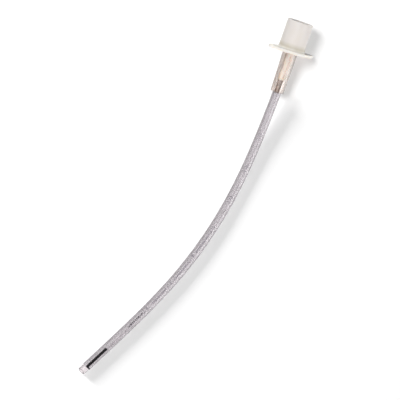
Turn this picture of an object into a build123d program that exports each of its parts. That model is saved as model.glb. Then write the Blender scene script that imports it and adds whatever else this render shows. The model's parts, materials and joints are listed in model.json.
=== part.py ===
from build123d import *
import os
from math import asin, ceil, cos, degrees, hypot, pi, radians, sin, sqrt, tan

# A wire-reinforced tracheal tube for a small child, without a cuff, lying on a table.
# The machine end with its connector is at +X and the patient end at -X. The tube keeps
# the shallow curve it was made with, and bulges towards -Y. The lower wing of its flange
# props the machine end up, so the tube slopes down for a third of its length and then
# lies flat. The table is the plane z = 0, and the origin is under the middle of the
# whole thing. Sizes are in millimetres and degrees.

# Layers of the tube's wall, from the bore outwards, with the wire's seat between them
bore_radius = 1.5
liner_wall = 0.34
jacket_wall = 0.23

# Reinforcing wire: one helix of straight facets between the two layers
wire_width = 0.22
wire_clearance = 0.03
coil_pitch = 1.4
facets_per_turn = 10
coil_end_wall = 0.8

# Runs of the centreline after the sleeve, each with the turn in plan where it starts
run_lengths = [22.0, 24.0, 24.0, 24.0, 24.0, 24.0, 24.0, 28.9]
plan_turns = [2.8, 2.1, 4.1, 5.3, 5.3, 5.0, 2.9, 0.8]
settling_corners = 3
tilt_accuracy = 1e-9
bend_share = 0.45
sleeve_to_bend = 5.5
straight_past_sleeve = 1.0

# Soft tip
tip_length = 3.9
tip_step = 0.3
bevel_angle = 25.0
tip_rounding = 0.25

# Connector: 15 mm cone, with a straight cup inside it and a funnel down to the throat
cone_length = 16.8
cone_mouth_radius = 7.535
cone_taper = 1.0 / 40.0
mouth_radius = 6.22
mouth_chamfer = 0.35
mouth_edge_rounding = 0.35
cup_floor_rise = 4.0
throat_rise = 0.4
funnel_rounding = 1.6
throat_rounding = 2.4

# Connector: winged flange
flange_thickness = 1.8
flange_land = 0.1
flange_edge_rounding = 0.5
root_fillet = 1.0
wing_reach = 11.4
wing_end_radius = 4.0
wing_roll = 36.0

# Connector: stem inside the tube
stem_length = 16.6
stem_stretch = 0.08
stem_bore_radius = 1.15
stem_lead = 0.25

# Clear sleeve over the joint of stem and tube
sleeve_length = 23.8
sleeve_top_radius = 4.35
sleeve_end_radius = 3.9
sleeve_edge_rounding = 0.25

# Sizes that follow from those above
half_facet = pi / facets_per_turn
wire_reach = wire_width / sqrt(2)
liner_radius = bore_radius + liner_wall
wire_radius = (liner_radius + wire_clearance + wire_reach) / cos(half_facet)
seat_radius = wire_radius + wire_reach / cos(half_facet) + wire_clearance
tube_radius = seat_radius + jacket_wall
tip_radius = tube_radius - tip_step
stem_root_radius = bore_radius + stem_stretch
cone_base_radius = cone_mouth_radius + cone_length * cone_taper / 2
root_radius = cone_base_radius + root_fillet + flange_land / 2
flange_core_radius = root_radius + flange_land / 2 + flange_edge_rounding
bevel_overhang = tip_radius * tan(radians(bevel_angle))
runs = [sleeve_length + sleeve_to_bend] + run_lengths
up = Vector(0, 0, 1)


def flange_height(tilt):
    """Height of the centre of the flange's lower face when its lower wing is on the table."""
    wing_drop = wing_reach * sin(radians(wing_roll)) + wing_end_radius
    reach_down = max(wing_drop, flange_core_radius) - flange_edge_rounding
    return reach_down * cos(tilt) + flange_edge_rounding * (1 - sin(tilt))


def run_slopes(tilt):
    """Downward slope of each run: it flattens evenly over the settling corners."""
    return [tilt * max(0.0, 1 - k / settling_corners) for k in range(len(runs))]


def settled_tilt():
    """Slope of the machine end at which the flange and the flat end both rest on the table."""
    low = 0.0
    high = pi / 4
    while high - low > tilt_accuracy:
        tilt = (low + high) / 2
        drop = sum(run * sin(slope) for run, slope in zip(runs, run_slopes(tilt)))
        if flange_height(tilt) - drop > tube_radius:
            low = tilt
        else:
            high = tilt
    return (low + high) / 2


def run_headings():
    """Heading of each run from -X towards +Y, with the ends of the tube in line with X."""
    headings = [0.0]
    for turn in plan_turns:
        headings.append(headings[-1] + radians(turn))
    along = sum(run * cos(heading) for run, heading in zip(runs, headings))
    across = sum(run * sin(heading) for run, heading in zip(runs, headings))
    chord = asin(across / hypot(along, across))
    return [heading - chord for heading in headings]


def centreline_corners(tilt):
    """Corner points of the centreline, from the flange's lower face to the end of the tip."""
    points = [Vector(0, 0, flange_height(tilt))]
    for run, heading, slope in zip(runs, run_headings(), run_slopes(tilt)):
        level = run * cos(slope)
        step = Vector(-level * cos(heading), level * sin(heading), -run * sin(slope))
        points.append(points[-1] + step)
    return points


def corner_radii(points):
    """Bend radius at each corner: large, but the first bend starts clear of the sleeve."""
    radii = []
    for before, corner, after in zip(points, points[1:], points[2:]):
        turn = radians((corner - before).get_angle(after - corner))
        room = bend_share * min((corner - before).length, (after - corner).length)
        if not radii:
            room = min(room, sleeve_to_bend - straight_past_sleeve)
        radii.append(room / tan(turn / 2))
    return radii


def station(distance):
    """Plane square to the centreline, a distance along it, that faces the patient end."""
    share = distance / centreline.length
    return Plane(origin=centreline @ share, z_dir=centreline % share)


def rod(radius, first, last):
    """Solid rod of one radius round the centreline, between two distances along it."""
    whole = sweep(station(0) * Circle(radius), path=centreline)
    if first > 0:
        whole = split(whole, bisect_by=station(first), keep=Keep.TOP)
    if last < centreline.length:
        whole = split(whole, bisect_by=station(last), keep=Keep.BOTTOM)
    return whole


def turned(outline):
    """Solid of revolution about the connector's own axis, from a closed profile."""
    return revolve(make_face(Plane.XZ * outline), Axis.Z)


def lozenge(core_radius, reach, end_radius):
    """A round core with a smaller rounded wing on each side, joined by tangent lines."""
    lean = asin((core_radius - end_radius) / reach)
    core_point = (core_radius * sin(lean), core_radius * cos(lean))
    wing_point = (reach + end_radius * sin(lean), end_radius * cos(lean))
    flank = Line(core_point, wing_point)
    wing_end = ThreePointArc(wing_point, (reach + end_radius, 0), (wing_point[0], -wing_point[1]))
    core_arc = ThreePointArc(core_point, (0, core_radius), (-core_point[0], core_point[1]))
    upper = Curve() + [flank, core_arc, mirror(flank, about=Plane.YZ)]
    ends = Curve() + [wing_end, mirror(wing_end, about=Plane.YZ)]
    return make_face(upper + ends + mirror(upper, about=Plane.XZ))


def connector():
    """One moulding, on its own axis: the flange's lower face is z = 0 and the mouth is up."""
    plate = extrude(lozenge(flange_core_radius, wing_reach, wing_end_radius), flange_thickness)
    plate = fillet(plate.faces().filter_by(Axis.Z).edges(), flange_edge_rounding)
    top = flange_thickness + cone_length
    outside = FilletPolyline(
        (0, top),
        (cone_mouth_radius, top),
        (cone_base_radius, flange_thickness),
        (root_radius, flange_thickness),
        (root_radius, flange_edge_rounding),
        (stem_root_radius, flange_edge_rounding),
        (stem_root_radius, 0),
        (bore_radius, stem_lead - stem_length),
        (bore_radius - stem_lead, -stem_length),
        (0, -stem_length),
        radius=[mouth_edge_rounding, root_fillet, 0, 0, 0, 0, 0, 0],
    )
    cup_floor = flange_thickness + cup_floor_rise
    inside = FilletPolyline(
        (0, top),
        (mouth_radius + mouth_chamfer, top),
        (mouth_radius, top - mouth_chamfer),
        (mouth_radius, cup_floor),
        (stem_bore_radius, throat_rise),
        (stem_bore_radius, -stem_length),
        (0, -stem_length),
        radius=[0, 0, funnel_rounding, throat_rounding, 0],
    )
    axis_line = Line((0, -stem_length), (0, top))
    return plate + turned(outside + axis_line) - turned(inside + axis_line)


def connector_sleeve():
    """Clear tapered tube on the connector's axis, pushed up against the flange."""
    outline = FilletPolyline(
        (tube_radius, 0),
        (sleeve_top_radius, 0),
        (sleeve_end_radius, -sleeve_length),
        (tube_radius, -sleeve_length),
        radius=[0, sleeve_edge_rounding],
    )
    return turned(outline + Line((tube_radius, -sleeve_length), (tube_radius, 0)))


def stretched_bore():
    """Room for the stem inside the liner, which is stretched over it."""
    outline = Polyline(
        (0, 0),
        (stem_root_radius, 0),
        (bore_radius, stem_lead - stem_length),
        (0, stem_lead - stem_length),
        close=True,
    )
    return turned(outline)


def inner_liner():
    """Clear inner layer, from the flange to the soft tip, with the stem's room in its bore."""
    solid = rod(liner_radius, 0, tip_start) - rod(bore_radius, 0, centreline.length)
    return solid - machine_end * stretched_bore()


def outer_jacket():
    """Clear outer layer, which meets the liner at both ends and holds the wire off it between."""
    solid = rod(tube_radius, 0, tip_start) - rod(liner_radius, 0, centreline.length)
    return solid - rod(seat_radius, coil_start, coil_end)


def helix_points(radius, first, last):
    """Corners of the wire, wound round the tube's centreline at a steady pitch."""
    count = ceil((last - first) / coil_pitch * facets_per_turn)
    points = []
    for k in range(count + 1):
        share = (first + (last - first) * k / count) / centreline.length
        way = centreline % share
        side = up.cross(way).normalized()
        turn = 2 * pi * k / facets_per_turn
        outwards = side * cos(turn) + way.cross(side) * sin(turn)
        points.append(centreline @ share + outwards * radius)
    return points


def mitred_bar(points, width):
    """A square bar along straight facets, which meet in the plane of each corner's mitre."""
    ways = [(after - before).normalized() for before, after in zip(points, points[1:])]
    across = ways[0].cross(up).normalized() * (width / 2)
    upright = ways[0].cross(across)
    ring = [points[0] + across + upright, points[0] - across + upright]
    ring += [points[0] - across - upright, points[0] + across - upright]
    faces = [Face(Wire.make_polygon(ring))]
    for corner, way, following in zip(points[1:], ways, ways[1:] + ways[-1:]):
        mitre = way + following
        slid = [p + way * ((corner - p).dot(mitre) / way.dot(mitre)) for p in ring]
        for k in range(4):
            near = (k + 1) % 4
            faces.append(Face(Wire.make_polygon([ring[k], ring[near], slid[near], slid[k]])))
        ring = slid
    faces.append(Face(Wire.make_polygon(ring)))
    return Solid(Shell(faces))


def reinforcing_wire():
    """The wire's helix, clear of both layers by the same small gap."""
    inset = wire_reach + wire_clearance
    return mitred_bar(helix_points(wire_radius, coil_start + inset, coil_end - inset), wire_width)


def soft_tip():
    """Short unreinforced end, cut off on a bevel that faces up, with its edges rounded."""
    end = centreline.length
    solid = rod(tip_radius, tip_start, end) - rod(bore_radius, 0, end)
    middle = station(end - bevel_overhang)
    hinge = Axis((0, 0, 0), up.cross(middle.z_dir))
    bevel = Plane(origin=middle.origin, z_dir=middle.z_dir.rotate(hinge, -bevel_angle))
    solid = split(solid, bisect_by=bevel, keep=Keep.BOTTOM)
    cut_face = solid.faces().sort_by_distance(bevel.origin + bevel.z_dir * tube_radius)[0]
    return fillet(cut_face.edges(), tip_rounding)


tilt = settled_tilt()
corners = centreline_corners(tilt)
radii = corner_radii(corners)
centreline = Wire(FilletPolyline(*corners, radius=radii).edges())
tip_start = centreline.length - bevel_overhang - tip_length
coil_start = sleeve_length
coil_end = tip_start - coil_end_wall

# The connector's axis carries on from the start of the centreline, with its wings rolled over
first_way = centreline % 0
wing_way = up.cross(first_way).normalized().rotate(Axis((0, 0, 0), first_way), -wing_roll)
machine_end = Location(Plane(origin=centreline @ 0, x_dir=wing_way, z_dir=first_way * -1))

parts = {
    "connector": machine_end * connector(),
    "connector_sleeve": machine_end * connector_sleeve(),
    "inner_liner": inner_liner(),
    "outer_jacket": outer_jacket(),
    "reinforcing_wire": reinforcing_wire(),
    "soft_tip": soft_tip(),
}

whole = Compound(children=[Compound(part.solids()) for part in parts.values()]).bounding_box()
to_origin = Location((-whole.center().X, -whole.center().Y, 0))
os.makedirs("parts", exist_ok=True)
for name, part in parts.items():
    export_step(to_origin * part, f"parts/{name}.step")

print("tilt", round(degrees(tilt), 2), "wire radius", round(wire_radius, 3), "seat", round(seat_radius, 3))
print("tube radius", round(tube_radius, 3), "lowest point", round(whole.min.Z, 4))
print("bend radii", [round(radius) for radius in radii])
print("centreline length", round(centreline.length, 1), "tip starts at", round(tip_start, 2))
print("machine end at", to_origin * Pos(centreline @ 0), "axis", first_way * -1)
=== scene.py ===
# %% [markdown]
# # A wire-reinforced tracheal tube
# The real thing is a small breathing tube for a child. It has a milky machine-end connector,
# a clear sleeve over the joint, a long clear vinyl wall with a steel wire wound inside it, and
# a soft bevelled tip. It keeps a shallow curve and lies on a pale table.
# Everything round the tube follows one curved centreline. So each piece is modelled straight,
# along the X axis, where it is easy to turn and measure, and is then laid on that centreline.
# The pieces' sizes are in millimetres, and Blender gets them multiplied by mm. Those of the
# table and the lamps are in metres.

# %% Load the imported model
import bpy
import json
from contextlib import contextmanager
from math import asin, atan2, cos, degrees, pi, radians, sin, tan
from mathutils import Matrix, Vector


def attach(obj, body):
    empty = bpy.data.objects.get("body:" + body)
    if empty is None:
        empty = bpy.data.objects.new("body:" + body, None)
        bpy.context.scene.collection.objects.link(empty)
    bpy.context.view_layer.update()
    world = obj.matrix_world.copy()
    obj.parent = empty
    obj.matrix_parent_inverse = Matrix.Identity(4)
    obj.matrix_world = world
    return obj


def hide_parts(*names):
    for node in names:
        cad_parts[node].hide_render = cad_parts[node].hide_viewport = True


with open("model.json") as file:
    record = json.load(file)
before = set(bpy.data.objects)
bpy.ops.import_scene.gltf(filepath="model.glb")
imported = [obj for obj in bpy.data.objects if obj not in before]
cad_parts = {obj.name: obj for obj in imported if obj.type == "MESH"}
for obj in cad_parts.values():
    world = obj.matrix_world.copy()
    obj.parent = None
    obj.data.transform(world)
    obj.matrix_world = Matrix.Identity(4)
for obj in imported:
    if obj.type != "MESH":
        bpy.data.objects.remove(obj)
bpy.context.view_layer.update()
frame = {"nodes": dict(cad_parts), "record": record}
scene = bpy.context.scene
mm = 0.001
print("nodes", sorted(frame["nodes"]))

# %% [markdown]
# ## Where the camera stands
# The photograph looks straight down on the table, from so far away that the tube hardly
# narrows towards its far end. A long lens does the same. The camera is turned about the
# vertical until the tube runs from the lower left to the upper right. It aims at the middle of
# the picture, at the height of the connector's axis.

# %% Camera
view_height = 1300 * mm
seen_width = 229.2 * mm
camera_turn = -56.71
aim = Vector((1.06 * mm, 0.85 * mm, 10.5 * mm))
sensor_width = 36.0
farthest_seen = 20.0

bpy.ops.object.camera_add(
    location=aim + Vector((0, 0, view_height)), rotation=(0, 0, radians(camera_turn))
)
camera = bpy.context.object
camera.name = "photo_camera"
camera.data.sensor_width = sensor_width
camera.data.lens = sensor_width * view_height / seen_width
camera.data.clip_end = farthest_seen
scene.camera = camera
print("lens", round(camera.data.lens, 1), "mm")

# %% [markdown]
# ## Helpers for finishes
# Colours are written as sRGB hex values, as a colour picker gives them, and Blender's shaders
# want linear light. One function turns the first into the second. Another adds a shader node,
# sets its values and joins its inputs, so that each material below reads as a short list. A few
# nodes have several sockets of one name, and those are reached by their place in the list.

# %% Colour and node helpers
mix_first, mix_second, mix_result = 6, 7, 2
second_vector = 1


def linear(hex_colour):
    """Linear RGBA from an sRGB hex value such as E9E4DC."""
    channels = [int(hex_colour[k:k + 2], 16) / 255 for k in (0, 2, 4)]
    return [c / 12.92 if c <= 0.04045 else ((c + 0.055) / 1.055) ** 2.4 for c in channels] + [1.0]


def add_node(material, kind, settings=None, **inputs):
    """Adds a node to a material or the world. An input is a value, or an output to link."""
    node = material.node_tree.nodes.new(kind)
    for name, value in (settings or {}).items():
        setattr(node, name, value)
    for name, value in inputs.items():
        socket = node.inputs[name.replace("_", " ")]
        if isinstance(value, bpy.types.NodeSocket):
            material.node_tree.links.new(value, socket)
        else:
            socket.default_value = value
    return node


def new_material(name):
    """A material with an empty node tree and its output node."""
    material = bpy.data.materials.new(name)
    material.use_nodes = True
    material.node_tree.nodes.clear()
    print("finish", name)
    return material, material.node_tree.nodes.new("ShaderNodeOutputMaterial")


def join(material, output, shader):
    """Leads a shader to the material's surface."""
    material.node_tree.links.new(shader.outputs[0], output.inputs["Surface"])


def place_stops(ramp, stops):
    """Sets a ramp's colours. Each stop is a place from 0 to 1 and an sRGB hex value."""
    colours = ramp.color_ramp.elements
    for place, colour in stops[1:-1]:
        colours.new(place).color = linear(colour)
    for end in (0, -1):
        colours[end].position = stops[end][0]
        colours[end].color = linear(stops[end][1])


# %% [markdown]
# ## The table
# The tube was photographed on a white sweep. The table is a matt white plane just at the height
# that the tube rests on. It is painted grey far from the tube, a painted pool of light round the
# tube, so that little light comes in low from there and clear plastic keeps its dark edges.

# %% Table
table_size = 6.0
white_reach = 0.2
grey_from = 0.6

bpy.ops.mesh.primitive_plane_add(size=table_size, location=(0, 0, 0))
table = bpy.context.object
table.name = "white_table"

table_finish, output = new_material("matt_card_with_painted_light_pool")
place = add_node(table_finish, "ShaderNodeTexCoord").outputs["Object"]
from_middle = add_node(
    table_finish, "ShaderNodeVectorMath", {"operation": "LENGTH"}, Vector=place
)
# Painted pool of light: the table's colour fades from white near the tube to grey farther out
painted_pool_share = add_node(
    table_finish, "ShaderNodeMapRange", Value=from_middle.outputs["Value"],
    From_Min=white_reach, From_Max=grey_from
)
painted_pool_colour = add_node(
    table_finish, "ShaderNodeMix", {"data_type": "RGBA"}, Factor=painted_pool_share.outputs["Result"]
)
painted_pool_colour.inputs[mix_first].default_value = linear("F4F4F4")
painted_pool_colour.inputs[mix_second].default_value = linear("8C8C8C")
card = add_node(
    table_finish, "ShaderNodeBsdfDiffuse", Color=painted_pool_colour.outputs[mix_result], Roughness=1.0
)
join(table_finish, output, card)
table.data.materials.append(table_finish)

# %% [markdown]
# ## The light tent
# A dim white surround stands in for the walls of a light tent. Clear plastic turns back little
# of it, so its edges look dark against the white table. It is a little brighter at the horizon,
# which keeps the connector's sides from going grey.

# %% Surround
horizon_light = 0.3
overhead_light = 0.15

world = bpy.data.worlds.new("light_tent")
scene.world = world
world.use_nodes = True
background = world.node_tree.nodes["Background"]
background.inputs["Color"].default_value = (1.0, 1.0, 1.0, 1.0)
way = add_node(world, "ShaderNodeTexCoord").outputs["Generated"]
height = add_node(world, "ShaderNodeSeparateXYZ", Vector=way).outputs["Z"]
glow = add_node(
    world, "ShaderNodeMapRange", Value=height, To_Min=horizon_light, To_Max=overhead_light
)
world.node_tree.links.new(glow.outputs["Result"], background.inputs["Strength"])
scene.view_settings.view_transform = "Standard"
print("tent", horizon_light, "at the horizon and", overhead_light, "overhead")

# %% [markdown]
# ## Lamps
# The light in the photograph comes from the upper left and throws a soft band of shadow to the
# lower right. Seven square area lights make it. Two keys light the table: a low one draws the
# thin tube's shadow well clear of it, and a steep one draws the connector's, which stands
# higher. Both stand far away, so that the whole table in view is equally white. The others are
# near and light the pieces: a softbox over the tube and one over the connector, a card on each
# side, and a weak card for the tube's left flank. The last step but one says what each reaches.
# Directions are given as they look in the picture. Powers are in watts.

# %% Lamps
key_distance = 1.8
near_distance = 0.7
table_middle = Vector((0, 0, 0))
near_connector = Vector((0.1, 0, 0))
photo_right = Vector((cos(radians(camera_turn)), sin(radians(camera_turn)), 0))
photo_up = Vector((-photo_right.y, photo_right.x, 0))


def side_of_picture(up, left):
    """A level direction, given by how far it goes up and left in the picture."""
    return (photo_up * up - photo_right * left).normalized()


def add_lamp(name, target, distance, side, elevation, size, power):
    """A square light that faces its target from that side and elevation."""
    way = side * cos(radians(elevation)) + Vector((0, 0, sin(radians(elevation))))
    bpy.ops.object.light_add(type="AREA", location=target + way * distance)
    light = bpy.context.object
    light.name = name
    light.rotation_euler = way.to_track_quat("Z", "Y").to_euler()
    light.data.shape = "SQUARE"
    light.data.size = size
    light.data.energy = power
    print(name, power, "W at", elevation, "degrees")
    return light


upper_left = side_of_picture(up=0.62, left=0.78)
nearer_top = side_of_picture(up=0.74, left=0.67)
tube_key = add_lamp(
    "tube_key", table_middle, key_distance, nearer_top, elevation=23, size=0.65, power=39.5
)
connector_key = add_lamp(
    "connector_key", table_middle, key_distance, upper_left, elevation=60, size=0.72, power=24.0
)
tube_softbox = add_lamp(
    "tube_softbox", near_connector, near_distance, upper_left, elevation=74, size=0.9, power=6.2
)
connector_softbox = add_lamp(
    "connector_softbox", near_connector, near_distance, upper_left,
    elevation=82, size=0.75, power=6.8
)
left_card = add_lamp(
    "left_card", near_connector, near_distance, upper_left, elevation=25, size=0.6, power=4.8
)
right_card = add_lamp(
    "right_card", near_connector, near_distance, -upper_left, elevation=31, size=0.6, power=4.8
)
tube_card = add_lamp(
    "tube_card", near_connector, near_distance, upper_left, elevation=25, size=0.6, power=1.5
)

# %% [markdown]
# ## The centreline
# The tube was formed in a shallow curve that straightens towards its tip. It is described as
# straight runs with a small turn between them, and each turn is rounded by an arc. A Bezier
# segment whose handles are 4/3 of the tangent of a quarter of the turn, times the radius, is
# as good as that arc. The start and direction come from the mount on the connector's cone. The
# slope there levels out over the first few corners, and then the tube lies flat.

# %% Sizes of the centreline
# The turns are in degrees, seen from above, and one lies between each run and the next
run_lengths = [29.3, 22.0, 24.0, 24.0, 24.0, 24.0, 24.0, 24.0, 28.9]
plan_turns = [2.8, 2.1, 4.1, 5.3, 5.3, 5.0, 2.9, 0.8]
settling_corners = 3
bend_share = 0.45
first_bend_room = 4.5
cone_mount_rise = 10.5

cone_mount = [m for m in frame["record"]["mounts"] if m["name"] == "cone_15mm"][0]
machine_way = Vector(cone_mount["axis"]).normalized()
flange_centre = Vector(cone_mount["pos_m"]) - machine_way * cone_mount_rise * mm
first_slope = asin(machine_way.z)
first_heading = -atan2(machine_way.y, machine_way.x)
print("slope at the connector", round(degrees(first_slope), 2))


# %% Corners and bends
def corner_points():
    """Corners between the straight runs, from the flange to the end of the tip."""
    points = [flange_centre]
    heading = first_heading
    for k, length in enumerate(run_lengths):
        if k > 0:
            heading += radians(plan_turns[k - 1])
        slope = first_slope * max(0.0, 1 - k / settling_corners)
        way = Vector((-cos(slope) * cos(heading), cos(slope) * sin(heading), -sin(slope)))
        points.append(points[-1] + way * length * mm)
    return points


def bend_knots(points):
    """Ends of each rounded corner, as a place, a direction and the length of its handle."""
    knots = []
    for k in range(1, len(points) - 1):
        before = points[k] - points[k - 1]
        after = points[k + 1] - points[k]
        room = bend_share * min(before.length, after.length)
        if k == 1:
            room = first_bend_room * mm
        turn = before.angle(after)
        handle = 4 / 3 * tan(turn / 4) * room / tan(turn / 2)
        knots.append((points[k] - before.normalized() * room, before.normalized(), handle))
        knots.append((points[k] + after.normalized() * room, after.normalized(), handle))
    return knots


# %% Draw the centreline
short_handle = 1 * mm
curve_steps = 24

corners = corner_points()
first_way = (corners[1] - corners[0]).normalized()
last_way = (corners[-1] - corners[-2]).normalized()
knots = [(corners[0], first_way, short_handle)] + bend_knots(corners)
knots.append((corners[-1], last_way, short_handle))

path = bpy.data.curves.new("centreline", "CURVE")
path.dimensions = "3D"
path.twist_mode = "Z_UP"
path.resolution_u = curve_steps
spline = path.splines.new("BEZIER")
spline.bezier_points.add(len(knots) - 1)
for k, (knot, (place, way, handle)) in enumerate(zip(spline.bezier_points, knots)):
    # Odd knots start an arc and even ones end it, and on its straight side a handle is short
    knot.co = place
    knot.handle_left_type = knot.handle_right_type = "FREE"
    back = handle if k % 2 == 0 else short_handle
    ahead = handle if k % 2 == 1 else short_handle
    knot.handle_left = place - way * back
    knot.handle_right = place + way * ahead
centreline = bpy.data.objects.new("centreline", path)
scene.collection.objects.link(centreline)
tube_length = spline.calc_length()
print("centreline", round(tube_length / mm, 2), "mm")

# %% [markdown]
# ## Tools of the workshop
# An operator acts on whatever is selected, so a piece is always selected alone before work on
# it starts. The second helper opens a piece in edit mode with all of it selected, and goes back
# to object mode when the block under it ends.


# %% Select a piece, or open it for editing
def only(piece):
    """Selects one piece alone and makes it the active one."""
    if bpy.context.object and bpy.context.object.mode != "OBJECT":
        bpy.ops.object.mode_set(mode="OBJECT")
    bpy.ops.object.select_all(action="DESELECT")
    piece.select_set(True)
    bpy.context.view_layer.objects.active = piece


@contextmanager
def editing(piece):
    """Edit mode on one piece, with all of it selected."""
    only(piece)
    bpy.ops.object.mode_set(mode="EDIT")
    bpy.ops.mesh.select_all(action="SELECT")
    yield
    bpy.ops.object.mode_set(mode="OBJECT")


# %% [markdown]
# ## Turning
# Most pieces here are turned: an outline is drawn on one side of the X axis, in millimetres
# along it and out from it, and is spun once round. A corner of the outline may be rounded
# first. Long straight lines are cut into short ones, so that the piece can bend afterwards.

# %% Round a corner and turn an outline
round_steps = 64
weld_distance = 0.001
turned_smooth_angle = 35.0


def rounded(outline, at, radius, steps=5):
    """The outline with one of its corners replaced by an arc of that radius."""
    corner = Vector(outline[at])
    before = (corner - Vector(outline[at - 1])).normalized()
    after = (Vector(outline[(at + 1) % len(outline)]) - corner).normalized()
    turn = before.angle(after)
    room = radius * tan(turn / 2)
    first = corner - before * room
    last = corner + after * room
    # A rational quadratic curve with this weight is a true circular arc
    weight = cos(turn / 2)
    arc = []
    for k in range(steps + 1):
        t = k / steps
        share = [(1 - t) ** 2, 2 * t * (1 - t) * weight, t ** 2]
        point = (first * share[0] + corner * share[1] + last * share[2]) / sum(share)
        arc.append(tuple(point))
    return list(outline[:at]) + arc + list(outline[at + 1:])


def turned(name, outline, along_step):
    """A solid turned round the X axis, with its long lines cut at about that step."""
    points = []
    for start, end in zip(outline, outline[1:] + outline[:1]):
        cuts = max(1, round(abs(end[0] - start[0]) / along_step))
        for k in range(cuts):
            points.append(Vector(start).lerp(Vector(end), k / cuts))
    edges = [(k, (k + 1) % len(points)) for k in range(len(points))]
    mesh = bpy.data.meshes.new(name)
    mesh.from_pydata([(p.x * mm, p.y * mm, 0) for p in points], edges, [])
    piece = bpy.data.objects.new(name, mesh)
    scene.collection.objects.link(piece)
    with editing(piece):
        bpy.ops.mesh.spin(steps=round_steps, angle=2 * pi, center=(0, 0, 0), axis=(1, 0, 0))
        bpy.ops.mesh.select_all(action="SELECT")
        bpy.ops.mesh.remove_doubles(threshold=weld_distance * mm)
        bpy.ops.mesh.normals_make_consistent(inside=False)
    bpy.ops.object.shade_smooth_by_angle(angle=radians(turned_smooth_angle))
    return piece


# %% [markdown]
# ## Laying on the centreline and handing over
# A finished straight piece is bent along the centreline by a Curve modifier, which is applied,
# so that the mesh has its place in itself. It moves with the tube's one body, and may stand for
# CAD nodes, which are then not shown.


# %% Bend a piece and hand it over
def lay_on_centreline(piece):
    """Bends a straight piece along the tube's centreline and applies the bend."""
    only(piece)
    bend = piece.modifiers.new("along_centreline", "CURVE")
    bend.object = centreline
    bend.deform_axis = "POS_X"
    bpy.ops.object.modifier_apply(modifier=bend.name)


def finish_piece(piece, slot, *nodes):
    """The piece rides on the tube's one body and stands for those nodes. The slot is not used."""
    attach(piece, "root")
    if nodes:
        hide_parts(*nodes)
    triangles = sum(len(face.vertices) - 2 for face in piece.data.polygons)
    print(piece.name, triangles, "triangles")


# %% [markdown]
# ## Finish: clear soft vinyl
# Plasticised PVC tubing is extruded and then heated, so it is glassy inside with a faint haze on
# its skin. It bends light a little more than window glass does, which is why the bore inside
# looks wider than it is. Light that leaves near the edge of a clear tube has run a long way in
# its wall, so the tint deepens a little where the surface turns away from the eye, as it does on
# glass. The rest of the darkening there is painted shade: the dark edges that clear plastic shows
# against a dim surround.
# Where two clear pieces are bonded no light is turned back, so those faces get a joint finish
# that lets light straight through.

# %% Clear vinyl
vinyl_ior = 1.53
haze_grain_mm = 1.5
haze_spread = 0.4


def clear_vinyl(name, tints_and_edge_shade, clearness, haze, shine="FFFFFF"):
    """Glassy vinyl with a faint cloudy haze, tinted from face-on to edge-on, with painted shade at
    the edges.
    """
    material, output = new_material(name)
    place = add_node(material, "ShaderNodeTexCoord").outputs["Object"]
    clouds = add_node(
        material, "ShaderNodeTexNoise", Vector=place, Scale=1 / (haze_grain_mm * mm), Detail=3.0
    )
    rough = add_node(
        material, "ShaderNodeMapRange", Value=clouds.outputs["Fac"],
        To_Min=haze * (1 - haze_spread), To_Max=haze * (1 + haze_spread)
    )
    # Painted shade: the ramp below darkens the colour where the surface turns edge-on
    edge_on = add_node(material, "ShaderNodeLayerWeight", Blend=0.5).outputs["Facing"]
    tint_and_edge_shade = add_node(material, "ShaderNodeValToRGB", Fac=edge_on)
    place_stops(tint_and_edge_shade, tints_and_edge_shade)
    vinyl = add_node(
        material, "ShaderNodeBsdfPrincipled", Base_Color=tint_and_edge_shade.outputs["Color"],
        Roughness=rough.outputs["Result"], IOR=vinyl_ior, Transmission_Weight=clearness,
        Specular_Tint=linear(shine)
    )
    join(material, output, vinyl)
    return material


# %% Four vinyls and the joint
# The wall looks silvery lilac, from the steel in it, and painted shade greys it along its edges
wall_tints_and_edge_shade = [(0.0, "D8D2D6"), (0.3, "D6D0D4"), (0.7, "9F999D"), (1.0, "807B7E")]
wall_vinyl = clear_vinyl("clear_pvc_extruded", wall_tints_and_edge_shade, clearness=0.7, haze=0.14)

# The sleeve is the clearest, so that the stem shines through between two thin edges of painted
# shade
sleeve_tints_and_edge_shade = [
    (0.0, "FFF8F3"), (0.1, "F0E4DC"), (0.25, "C8BEB8"),
    (0.42, "BDB5B0"), (0.52, "695F5B"), (1.0, "50484A"),
]
sleeve_vinyl = clear_vinyl("clear_pvc_sleeve", sleeve_tints_and_edge_shade, clearness=0.98, haze=0.05)

# The bore between the stem's end and the sleeve's end is tinted brown, which shows as a short
# brown window
amber_tints_and_edge_shade = [(0.0, "957F73"), (0.6, "77635A"), (1.0, "4E403A")]
amber_vinyl = clear_vinyl(
    "clear_pvc_amber_bore", amber_tints_and_edge_shade, clearness=0.9, haze=0.3, shine="A08C80"
)

# The tip was formed by heat, which leaves it milky and nearly white, with painted shade at its
# edges
tip_tints_and_edge_shade = [(0.0, "F4EEF0"), (0.3, "F4EEF0"), (0.9, "989294")]
tip_vinyl = clear_vinyl("clear_pvc_heat_formed", tip_tints_and_edge_shade, clearness=0.6, haze=0.35)

bonded_joint, output = new_material("solvent_bonded_pvc_joint")
through = add_node(bonded_joint, "ShaderNodeBsdfTransparent", Color=(1.0, 1.0, 1.0, 1.0))
join(bonded_joint, output, through)

# %% [markdown]
# ## Finish: milky polypropylene
# The connector is injection moulded in natural polypropylene. The plastic scatters light inside
# it, so thin walls glow and thick ones look a little yellower. The mould leaves a satin skin,
# whose grain is drawn somewhat coarser than real, so that it shows at all.
# How thick the plastic is changes along the connector's axis, so its colour is read there, by
# the height above the flange's lower face. The stem below it is painted lightest, a painted glow
# that makes up for the light the sleeve round it keeps off. The foot of the cone is solid and
# painted darker, yellower for its thickness and partly as painted shade, and the cone's wall is
# thin again.

# %% How the connector's tone changes along its axis
stem_length = 16.6
machine_end_length = 18.6
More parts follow.
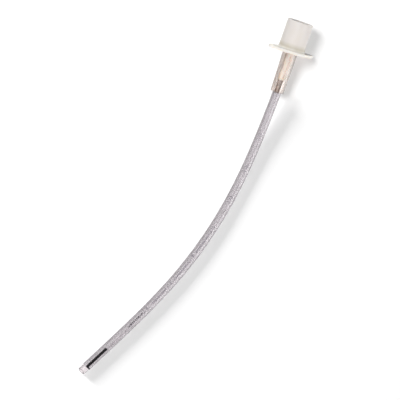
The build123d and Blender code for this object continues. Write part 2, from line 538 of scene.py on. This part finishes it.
# Painted glow: the stem is lighter than the plastic is, for the light the sleeve keeps off it
stem_painted_glow = "FFEAE0"
flange_tone = "D4D1CB"
# Yellower for the solid plastic's thickness, and darker partly as painted shade
solid_tone_with_shade = "ABA597"
wall_tone = "C6C1BD"
tones = [
    (-stem_length, stem_painted_glow),
    (-0.5, stem_painted_glow),
    (0.6, flange_tone),
    (1.8, flange_tone),
    (3.4, solid_tone_with_shade),
    (6.0, wall_tone),
    (machine_end_length, wall_tone),
]
whole_length = stem_length + machine_end_length
stops = [((height + stem_length) / whole_length, tone) for height, tone in tones]
print("connector", round(whole_length, 1), "mm from end to end, in", len(stops), "tones")

# %% Milky polypropylene
satin_grain_mm = 0.35
satin_depth = 0.02
scatter_depth = 0.35

milky_plastic, output = new_material("natural_polypropylene_moulded")
place = add_node(milky_plastic, "ShaderNodeTexCoord").outputs["Object"]
satin = add_node(
    milky_plastic, "ShaderNodeTexNoise", Vector=place, Scale=1 / (satin_grain_mm * mm), Detail=4.0
)
gloss = add_node(
    milky_plastic, "ShaderNodeMapRange", Value=satin.outputs["Fac"], To_Min=0.28, To_Max=0.42
)
grain = add_node(
    milky_plastic, "ShaderNodeBump", Height=satin.outputs["Fac"],
    Strength=0.15, Distance=satin_depth * mm
)
along = add_node(
    milky_plastic, "ShaderNodeVectorMath", {"operation": "DOT_PRODUCT"}, Vector=place
)
along.inputs[second_vector].default_value = machine_way
rise = add_node(
    milky_plastic, "ShaderNodeMapRange", Value=along.outputs["Value"],
    From_Min=machine_way.dot(flange_centre) - stem_length * mm,
    From_Max=machine_way.dot(flange_centre) + machine_end_length * mm
)
tone = add_node(milky_plastic, "ShaderNodeValToRGB", Fac=rise.outputs["Result"])
place_stops(tone, stops)
plastic = add_node(
    milky_plastic, "ShaderNodeBsdfPrincipled", Base_Color=tone.outputs["Color"],
    Roughness=gloss.outputs["Result"], Normal=grain.outputs["Normal"],
    IOR=1.49, Transmission_Weight=0.3, Subsurface_Weight=1.0,
    Subsurface_Radius=(1.0, 0.9, 0.75), Subsurface_Scale=scatter_depth * mm
)
join(milky_plastic, output, plastic)

# %% [markdown]
# ## Finish: drawn stainless steel
# The wire is bright drawn stainless steel. Its drawing lines are a few thousandths of a
# millimetre apart, far too fine to see. They are drawn much coarser and only soften its shine.

# %% Steel
drawing_line_mm = 0.1

steel, output = new_material("drawn_stainless_steel")
place = add_node(steel, "ShaderNodeTexCoord").outputs["Object"]
lines = add_node(
    steel, "ShaderNodeTexNoise", Vector=place, Scale=1 / (drawing_line_mm * mm), Detail=2.0
)
shine = add_node(
    steel, "ShaderNodeMapRange", Value=lines.outputs["Fac"], To_Min=0.35, To_Max=0.5
)
metal = add_node(
    steel, "ShaderNodeBsdfPrincipled", Base_Color=linear("8E8C8F"), Metallic=1.0,
    Roughness=shine.outputs["Result"]
)
join(steel, output, metal)

# %% [markdown]
# ## Finish: printing ink
# The marks are pad printed in a matt black film, a little uneven where it keyed to the vinyl.
# It is full strength at the tip, thinner on the first row of print, and worn to grey above.

# %% Ink
ink_grain_mm = 0.3
speckle_share = 0.6


def printing_ink(name, colour):
    """A matt ink film with small variations of tone."""
    material, output = new_material(name)
    place = add_node(material, "ShaderNodeTexCoord").outputs["Object"]
    speckle = add_node(
        material, "ShaderNodeTexNoise", Vector=place, Scale=1 / (ink_grain_mm * mm), Detail=3.0
    )
    tone = add_node(
        material, "ShaderNodeMix", {"data_type": "RGBA"}, Factor=speckle.outputs["Fac"]
    )
    tone.inputs[mix_first].default_value = linear(colour)
    tone.inputs[mix_second].default_value = [c * speckle_share for c in linear(colour)[:3]] + [1.0]
    film = add_node(
        material, "ShaderNodeBsdfPrincipled", Base_Color=tone.outputs[mix_result],
        Roughness=0.6, Specular_IOR_Level=0.15
    )
    join(material, output, film)
    return material


black_ink = printing_ink("black_pad_print_ink", "0E0D10")
dark_grey_ink = printing_ink("thin_pad_print_ink", "4A464D")
grey_ink = printing_ink("worn_pad_print_ink", "89848C")

# %% [markdown]
# ## The connector
# Its cone, flange and stem have their true shape in the CAD model already, so the modeller's
# job is the surface. A CAD mesh arrives as loose triangles. A copy of it is merged, so that
# its round faces can be shaded smoothly, and the copy stands for the node.

# %% Connector
merge_distance = 0.002
moulded_smooth_angle = 25.0

connector = frame["nodes"]["connector"].copy()
connector.data = frame["nodes"]["connector"].data.copy()
connector.name = "milky_connector"
connector.parent = None
scene.collection.objects.link(connector)
with editing(connector):
    bpy.ops.mesh.remove_doubles(threshold=merge_distance * mm)
bpy.ops.object.shade_smooth_by_angle(angle=radians(moulded_smooth_angle))
connector.data.materials.clear()
connector.data.materials.append(milky_plastic)
finish_piece(connector, "connector_plastic", "connector")

# %% [markdown]
# ## The tube's wall
# One closed wall runs from the flange to the soft tip. On the real tube it is two layers with
# the wire between them, bonded so well that light sees one wall. The bore is opened a little
# where it is stretched over the stem. Its faces get their finishes while it is still straight,
# because there a face's place along the tube and out from it is easy to read.

# %% Sizes of the wall
bore_radius = 1.5
tube_radius = 2.553
stem_stretch = 0.08
sleeve_length = 23.8
bevel_overhang = 1.05
tip_length = 3.9
tip_start = tube_length / mm - bevel_overhang - tip_length
wall_middle = (bore_radius + tube_radius) / 2
print("wall ends at", round(tip_start, 2), "mm")

# %% Give faces a finish
end_facing = 0.9


def finish_faces(piece, finish, is_there):
    """Gives a finish to the faces of a straight piece for which the test holds."""
    piece.data.materials.append(finish)
    place_in_list = len(piece.data.materials) - 1
    for face in piece.data.polygons:
        along = face.center.x / mm
        out = face.center.yz.length / mm
        is_end = abs(face.normal.x) > end_facing
        if is_there(along, out, is_end):
            face.material_index = place_in_list


# %% Tube wall
def wall_is_bonded(along, out, is_end):
    """Whether the stem, the sleeve or the tip is bonded there."""
    if is_end:
        return along > stem_length
    if out > wall_middle:
        return along < sleeve_length
    return along < stem_length


def wall_is_amber(along, out, is_end):
    """Whether that is the bore between the end of the stem and the end of the sleeve."""
    return stem_length < along < sleeve_length and out < wall_middle


wall_outline = [
    (0, bore_radius + stem_stretch),
    (0, tube_radius),
    (sleeve_length, tube_radius),
    (tip_start, tube_radius),
    (tip_start, bore_radius),
    (stem_length, bore_radius),
]
tube_wall = turned("tube_wall", wall_outline, along_step=2.0)
tube_wall.data.materials.append(wall_vinyl)
finish_faces(tube_wall, bonded_joint, wall_is_bonded)
finish_faces(tube_wall, amber_vinyl, wall_is_amber)
lay_on_centreline(tube_wall)
finish_piece(tube_wall, "clear_wall", "inner_liner", "outer_jacket")

# %% [markdown]
# ## The sleeve over the joint
# A clear sleeve, slightly tapered, is pushed over the tube and up against the flange. Its bore
# is bonded to the tube, and only its outside and its lower end meet the air.

# %% Sleeve
sleeve_top_radius = 4.35
sleeve_end_radius = 3.9
sleeve_rounding = 0.25
sleeve_middle = (tube_radius + sleeve_end_radius) / 2


def sleeve_is_bonded(along, out, is_end):
    """Whether that is the sleeve's bore."""
    return not is_end and out < sleeve_middle


sleeve_outline = [
    (0, tube_radius),
    (0, sleeve_top_radius),
    (sleeve_length, sleeve_end_radius),
    (sleeve_length, tube_radius),
]
sleeve = turned("clear_sleeve", rounded(sleeve_outline, 2, sleeve_rounding), along_step=4.0)
sleeve.data.materials.append(sleeve_vinyl)
finish_faces(sleeve, bonded_joint, sleeve_is_bonded)
lay_on_centreline(sleeve)
finish_piece(sleeve, "clear_sleeve", "connector_sleeve")

# %% [markdown]
# ## The reinforcing wire
# This is the piece that makes the tube what it is: a steel spring of about 140 turns that keeps
# the thin wall from kinking. One small circle is drawn beside the axis, and a Screw modifier
# carries it round and along. Bending the finished spring keeps its turns even on the curve.

# %% Wire
wire_radius = 0.11
wire_sides = 8
coil_radius = 2.08
coil_pitch = 1.4
steps_per_turn = 20
room_at_sleeve = 0.3
room_at_tip = 1.2
wire_smooth_angle = 50.0
coil_start = sleeve_length + room_at_sleeve
coil_turns = int((tip_start - room_at_tip - coil_start) / coil_pitch)
print("coil of", coil_turns, "turns")

bpy.ops.mesh.primitive_circle_add(
    vertices=wire_sides, radius=wire_radius * mm,
    location=(coil_start * mm, coil_radius * mm, 0)
)
wire = bpy.context.object
wire.name = "steel_wire"
only(wire)
bpy.ops.object.transform_apply(location=True, rotation=True, scale=True)
winding = wire.modifiers.new("winding", "SCREW")
winding.axis = "X"
winding.screw_offset = coil_pitch * mm
winding.iterations = coil_turns
winding.steps = winding.render_steps = steps_per_turn
winding.use_merge_vertices = False
bpy.ops.object.modifier_apply(modifier=winding.name)
with editing(wire):
    bpy.ops.mesh.fill_holes(sides=0)
    bpy.ops.mesh.normals_make_consistent(inside=False)
bpy.ops.object.shade_smooth_by_angle(angle=radians(wire_smooth_angle))
wire.data.materials.append(steel)
lay_on_centreline(wire)
finish_piece(wire, "spring_wire", "reinforcing_wire")

# %% [markdown]
# ## The soft tip
# Past the wire the tube ends in a short, softer, slightly thinner piece, cut on a bevel that
# faces up, with a rounded rim so that it does no harm. It is turned square and then sheared,
# more and more towards its end, which slants the cut and keeps the rim's rounding.

# %% Soft tip
tip_step = 0.3
bevel_angle = 25.0
tip_rounding = 0.25
joint_reach = 0.1
tip_radius = tube_radius - tip_step
tip_end = tip_start + tip_length


def tip_is_bonded(along, out, is_end):
    """Whether that is the end that meets the wall."""
    return is_end and along < tip_start + joint_reach


tip_outline = [
    (tip_start, bore_radius),
    (tip_start, tip_radius),
    (tip_end, tip_radius),
    (tip_end, bore_radius),
]
tip_outline = rounded(rounded(tip_outline, 3, tip_rounding), 2, tip_rounding)
soft_tip = turned("soft_tip_piece", tip_outline, along_step=0.5)
soft_tip.data.materials.append(tip_vinyl)
finish_faces(soft_tip, bonded_joint, tip_is_bonded)
for vertex in soft_tip.data.vertices:
    share = (vertex.co.x / mm - tip_start) / tip_length
    vertex.co.x -= vertex.co.z * tan(radians(bevel_angle)) * share
lay_on_centreline(soft_tip)
finish_piece(soft_tip, "clear_tip", "soft_tip")

# %% [markdown]
# ## The printed marks
# A black bar runs along the tube to the tip, with half a ring beside it where the wire ends, so
# that the tip's place and roll can be seen. Depth ticks and plain numbers, in centimetres from
# the tip, run up the tube in worn grey ink, and rows of small blocks stand where the real tube
# has small print. Each mark is made flat, cut fine, wrapped round the tube, given the thickness
# of an ink film, and then laid on the centreline with the tube.

# %% Wrap a flat mark round the tube
film_thickness = 0.015
film_lift = 0.004


def wrap_and_ink(piece, ink):
    """Rolls a flat mark onto the straight tube's outside, thickens it and bends it."""
    only(piece)
    bpy.ops.object.transform_apply(location=True, rotation=True, scale=True)
    with editing(piece):
        bpy.ops.mesh.quads_convert_to_tris()
    outside = (tube_radius + film_lift) * mm
    for vertex in piece.data.vertices:
        angle = vertex.co.y / outside
        vertex.co.y = outside * sin(angle)
        vertex.co.z = outside * cos(angle)
    piece.data.materials.clear()
    piece.data.materials.append(ink)
    thicken = piece.modifiers.new("ink_film", "SOLIDIFY")
    thicken.thickness = film_thickness * mm
    thicken.offset = 1.0
    bpy.ops.object.modifier_apply(modifier=thicken.name)
    lay_on_centreline(piece)
    finish_piece(piece, "clear_wall")
    return piece


# %% Patches and rows of blocks
cut_along = 1.0
cut_across = 0.25
block_lengths = [0.9, 0.5, 1.3, 0.5, 0.7]
block_gap = 0.45


def flat_patch(name, first, last, left, right):
    """A flat rectangle between two places along the tube and two across its top."""
    bpy.ops.mesh.primitive_grid_add(
        x_subdivisions=max(1, round((last - first) / cut_along)),
        y_subdivisions=max(2, round((right - left) / cut_across)),
        size=1.0, location=((first + last) / 2 * mm, (left + right) / 2 * mm, 0)
    )
    patch = bpy.context.object
    patch.name = name
    patch.scale = ((last - first) * mm, (right - left) * mm, 1)
    return patch


def printed_patch(name, first, last, left, right, ink):
    """A rectangular field of ink."""
    return wrap_and_ink(flat_patch(name, first, last, left, right), ink)


def printed_row(name, first, last, left, right, ink):
    """A row of short blocks of ink, as one piece."""
    blocks = []
    spot = first
    while spot < last:
        length = block_lengths[len(blocks) % len(block_lengths)]
        blocks.append(flat_patch(name, spot, spot + length, left, right))
        spot += length + block_gap
    only(blocks[0])
    for block in blocks:
        block.select_set(True)
    bpy.ops.object.join()
    bpy.context.object.name = name
    return wrap_and_ink(bpy.context.object, ink)


# %% Numbers
font_size_per_height = 1.4
boldness = 0.06
outline_steps = 4


def printed_number(name, text, along, height, ink):
    """A plain number that reads along the tube."""
    bpy.ops.object.text_add(location=(along * mm, 0, 0), rotation=(0, 0, pi))
    number = bpy.context.object
    number.data.body = text
    number.data.size = height * mm * font_size_per_height
    number.data.align_x = "CENTER"
    number.data.align_y = "CENTER"
    number.data.resolution_u = outline_steps
    number.data.offset = boldness * mm
    only(number)
    bpy.ops.object.convert(target="MESH")
    number = bpy.context.object
    number.name = name
    with editing(number):
        bpy.ops.mesh.quads_convert_to_tris()
        bpy.ops.mesh.subdivide(number_cuts=2)
    return wrap_and_ink(number, ink)


# %% Bar and half ring at the tip
bar_length = 19.7
bar_left = -0.5
bar_right = 1.15
ring_right = 3.7
# These are measured back from where the soft tip starts
bar_stop = 0.8
ring_start = 0.85
ring_stop = 0.05
end_of_tube = tube_length / mm - bevel_overhang

prints = [
    printed_patch(
        "tip_bar", end_of_tube - bar_length, tip_start - bar_stop, bar_left, bar_right, black_ink
    ),
    printed_patch(
        "tip_ring", tip_start - ring_start, tip_start - ring_stop, bar_left, ring_right, black_ink
    ),
]

# %% Depth ticks and numbers
centimetre = 10
nearest_depth, farthest_depth, depth_step = 5, 17, 2
half_tick = 0.2
tick_reach = 0.9
number_gap = 2.4
number_height = 1.8

for depth in range(nearest_depth, farthest_depth + 1, depth_step):
    spot = end_of_tube - depth * centimetre
    prints.append(printed_patch(
        f"tick_{depth}", spot - half_tick, spot + half_tick, -tick_reach, tick_reach, grey_ink
    ))
    prints.append(printed_number(
        f"depth_{depth}", str(depth), spot - number_gap, number_height, grey_ink
    ))

# %% Rows of small print
row_left = -0.5
row_right = 0.3
# Each row starts and ends at these distances from the tip
print_rows = [
    (38.0, 48.5, dark_grey_ink),
    (57.0, 68.5, grey_ink),
    (76.0, 88.5, grey_ink),
    (96.0, 108.5, grey_ink),
]

for k, (nearest, farthest, ink) in enumerate(print_rows):
    first, last = end_of_tube - farthest, end_of_tube - nearest
    prints.append(printed_row(f"print_row_{k + 1}", first, last, row_left, row_right, ink))

# %% [markdown]
# ## Which light reaches what
# In the photograph the shadow is a soft band beside the object, while the object itself is lit
# evenly from above. Light linking does that here: each lamp has a collection of what it lights,
# and may have one of what shades it. The two keys fall on the table alone, one shaded by the
# tube and the steeper one by the connector. The softboxes and cards light only the pieces.


# %% Light linking
def collect(name, members):
    """A collection outside the scene's tree, which only names objects for a light."""
    group = bpy.data.collections.new(name)
    for member in members:
        group.objects.link(member)
    return group


tube_pieces = [tube_wall, wire, soft_tip] + prints
machine_pieces = [connector, sleeve]
reaches = [
    (tube_key, [table]),
    (connector_key, [table]),
    (tube_softbox, tube_pieces),
    (connector_softbox, machine_pieces),
    (left_card, machine_pieces),
    (right_card, tube_pieces + machine_pieces),
    (tube_card, tube_pieces),
]
for light, lit in reaches:
    light.light_linking.receiver_collection = collect("lit_by_" + light.name, lit)
for light, shading in [(tube_key, tube_pieces), (connector_key, machine_pieces)]:
    light.light_linking.blocker_collection = collect("shades_" + light.name, shading)
print("tube pieces", len(tube_pieces), "and machine-end pieces", len(machine_pieces))

# %% [markdown]
# ## Clearing up
# The centreline was only a guide, so it is removed.

# %% Finish
bpy.data.objects.remove(centreline)
